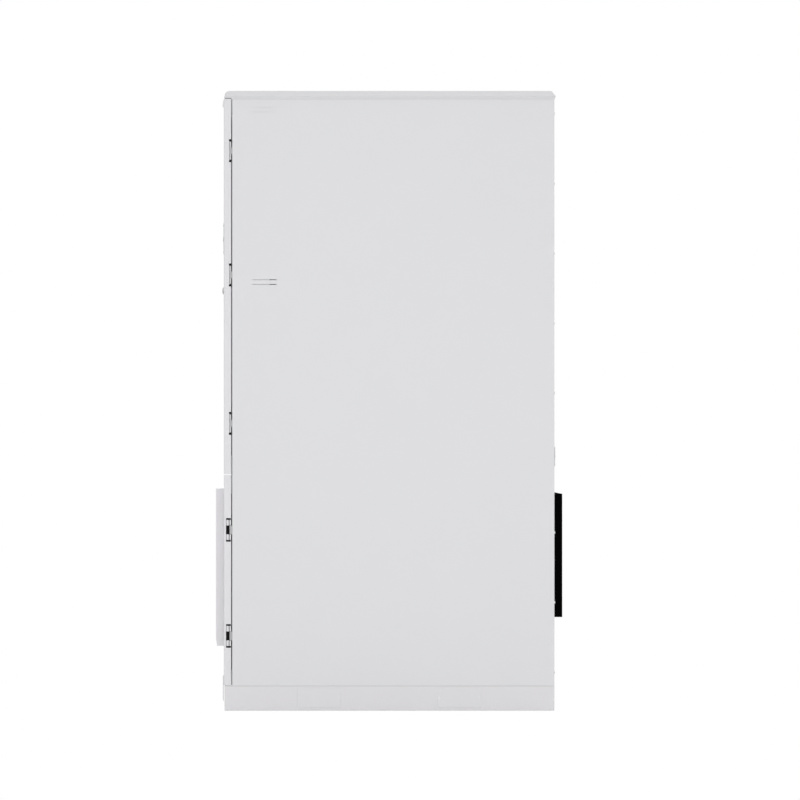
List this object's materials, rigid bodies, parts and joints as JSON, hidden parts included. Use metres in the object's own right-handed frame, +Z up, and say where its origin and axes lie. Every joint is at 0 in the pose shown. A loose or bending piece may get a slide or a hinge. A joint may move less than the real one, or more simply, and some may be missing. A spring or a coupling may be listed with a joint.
{
  "type": "battery cabinet",
  "caption": "Outdoor energy storage cabinet with a battery bay behind the upper door and a cooling bay behind the lower door, on a forklift plinth.",
  "frame": {"origin": "on the floor under the middle of the cabinet", "axes": "+Z up, the doors face -Y, and the door hinges are on the +X side"},
  "size_m": [1.0108, 1.257, 2.25],
  "materials": {
    "shell_paint": "fine-textured powder coat",
    "roof_paint": "fine-textured powder coat",
    "plinth_paint": "fine-textured powder coat",
    "inner_paint": "powder coat",
    "galvanised": "galvanised",
    "hinge_metal": "satin",
    "screw_steel": "satin",
    "black_coat": "satin black coat",
    "black_plastic": "moulded, fine texture",
    "seal_rubber": "foamed",
    "coil_aluminium": "mill finish",
    "pipe_aluminium": "satin",
    "pump_iron": "painted",
    "tank_plastic": "blow-moulded",
    "pack_case": "e-coated",
    "orange_plastic": "moulded",
    "red_coat": "gloss coat",
    "red_plastic": "moulded",
    "green_plastic": "moulded",
    "lamp_plastic": "frosted",
    "handle_metal": "satin chrome",
    "filter_fabric": "open non-woven mat"
  },
  "bodies": {
    "cabinet": {"plinth_frame": "plinth_paint", "fork_pocket_tubes": "plinth_paint", "fork_pocket_covers": "shell_paint", "fork_cover_screws": "screw_steel", "base_plate": "galvanised", "gland_plate": "galvanised", "cable_glands": "black_plastic", "cabinet_frame": "shell_paint", "side_panel_right": "shell_paint", "side_panel_left": "shell_paint", "rear_panel": "shell_paint", "rear_cover_plate": "shell_paint", "roof_cap": "roof_paint", "mid_shelf": "galvanised", "door_frame_lips": "shell_paint", "door_seals": "seal_rubber", "hinge_body_leaves": "hinge_metal", "lock_keepers": "galvanised", "rear_grille": "black_coat", "fan_frames": "black_coat", "cooling_chassis": "galvanised", "condenser_coil": "coil_aluminium", "compressor": "black_coat", "coolant_pump": "pump_iron", "coolant_tank": "tank_plastic", "pack_runners": "galvanised", "battery_pack_1": "pack_case", "battery_pack_2": "pack_case", "battery_pack_3": "pack_case", "battery_pack_4": "pack_case", "pack_terminals": "orange_plastic", "busbar_links": "orange_plastic", "coolant_manifold": "pipe_aluminium", "control_box": "inner_paint", "control_panel": "inner_paint", "fire_canister": "red_coat"},
    "upper_door": {"upper_door_shell": "shell_paint", "upper_door_stiffener": "shell_paint", "upper_hinge_leaves": "hinge_metal", "upper_lock_housing": "black_plastic", "status_lamps": "lamp_plastic"},
    "lower_door": {"lower_door_shell": "shell_paint", "lower_door_stiffener": "shell_paint", "lower_hinge_leaves": "hinge_metal", "lower_lock_housing": "black_plastic", "intake_hood": "shell_paint", "intake_filter": "filter_fabric"},
    "upper_lock_knob": {"upper_lock_knob": "handle_metal"},
    "upper_lock_plug": {"upper_lock_plug": "handle_metal"},
    "upper_rod_up": {"upper_rod_up": "galvanised"},
    "upper_rod_down": {"upper_rod_down": "galvanised"},
    "lower_lock_knob": {"lower_lock_knob": "handle_metal"},
    "lower_lock_plug": {"lower_lock_plug": "handle_metal"},
    "lower_rod_up": {"lower_rod_up": "galvanised"},
    "lower_rod_down": {"lower_rod_down": "galvanised"},
    "fan_impeller_left": {"fan_impeller_left": "black_plastic"},
    "fan_impeller_right": {"fan_impeller_right": "black_plastic"},
    "disconnect_handle": {"disconnect_handle": "red_plastic"},
    "start_button": {"start_button": "green_plastic"},
    "stop_button": {"stop_button": "red_plastic"}
  },
  "joints": [
    {"name": "upper_door_swing", "type": "hinge", "parent": "cabinet", "child": "upper_door", "pos_m": [0.496, -0.5765, 1.54], "axis": [0, 0, 1], "range_deg": [0, 105]},
    {"name": "lower_door_swing", "type": "hinge", "parent": "cabinet", "child": "lower_door", "pos_m": [0.493, -0.5865, 0.47], "axis": [0, 0, 1], "range_deg": [0, 115]},
    {"name": "upper_handle_turn", "type": "hinge", "parent": "upper_door", "child": "upper_lock_knob", "pos_m": [-0.392, -0.6, 1.713], "axis": [0, 1, 0], "range_deg": [0, 90]},
    {"name": "upper_key_turn", "type": "hinge", "parent": "upper_lock_knob", "child": "upper_lock_plug", "pos_m": [-0.392, -0.6, 1.713], "axis": [0, 1, 0], "range_deg": [0, 90]},
    {"name": "upper_rod_up_slide", "type": "slide", "parent": "upper_door", "child": "upper_rod_up", "axis": [0, 0, 1], "range_m": [0, 0.0189]},
    {"name": "upper_rod_down_slide", "type": "slide", "parent": "upper_door", "child": "upper_rod_down", "axis": [0, 0, -1], "range_m": [0, 0.0189]},
    {"name": "lower_handle_turn", "type": "hinge", "parent": "lower_door", "child": "lower_lock_knob", "pos_m": [-0.392, -0.6, 0.473], "axis": [0, 1, 0], "range_deg": [0, 90]},
    {"name": "lower_key_turn", "type": "hinge", "parent": "lower_lock_knob", "child": "lower_lock_plug", "pos_m": [-0.392, -0.6, 0.473], "axis": [0, 1, 0], "range_deg": [0, 90]},
    {"name": "lower_rod_up_slide", "type": "slide", "parent": "lower_door", "child": "lower_rod_up", "axis": [0, 0, 1], "range_m": [0, 0.0189]},
    {"name": "lower_rod_down_slide", "type": "slide", "parent": "lower_door", "child": "lower_rod_down", "axis": [0, 0, -1], "range_m": [0, 0.0189]},
    {"name": "fan_left_spin", "type": "hinge", "parent": "cabinet", "child": "fan_impeller_left", "pos_m": [-0.16, 0.54, 0.566], "axis": [0, 1, 0], "continuous": true},
    {"name": "fan_right_spin", "type": "hinge", "parent": "cabinet", "child": "fan_impeller_right", "pos_m": [0.16, 0.54, 0.566], "axis": [0, 1, 0], "continuous": true},
    {"name": "disconnect_turn", "type": "hinge", "parent": "cabinet", "child": "disconnect_handle", "pos_m": [-0.24, -0.474, 2.033], "axis": [0, 1, 0], "range_deg": [0, 90]},
    {"name": "start_press", "type": "slide", "parent": "cabinet", "child": "start_button", "axis": [0, 1, 0], "range_m": [0, 0.004], "stiffness_N_per_m": 400},
    {"name": "stop_press", "type": "slide", "parent": "cabinet", "child": "stop_button", "axis": [0, 1, 0], "range_m": [0, 0.004], "stiffness_N_per_m": 400}
  ],
  "couplings": [
    {"joint": "upper_rod_up_slide", "follows": "upper_handle_turn", "m_per_rad": 0.012},
    {"joint": "upper_rod_down_slide", "follows": "upper_handle_turn", "m_per_rad": 0.012},
    {"joint": "lower_rod_up_slide", "follows": "lower_handle_turn", "m_per_rad": 0.012},
    {"joint": "lower_rod_down_slide", "follows": "lower_handle_turn", "m_per_rad": 0.012}
  ]
}
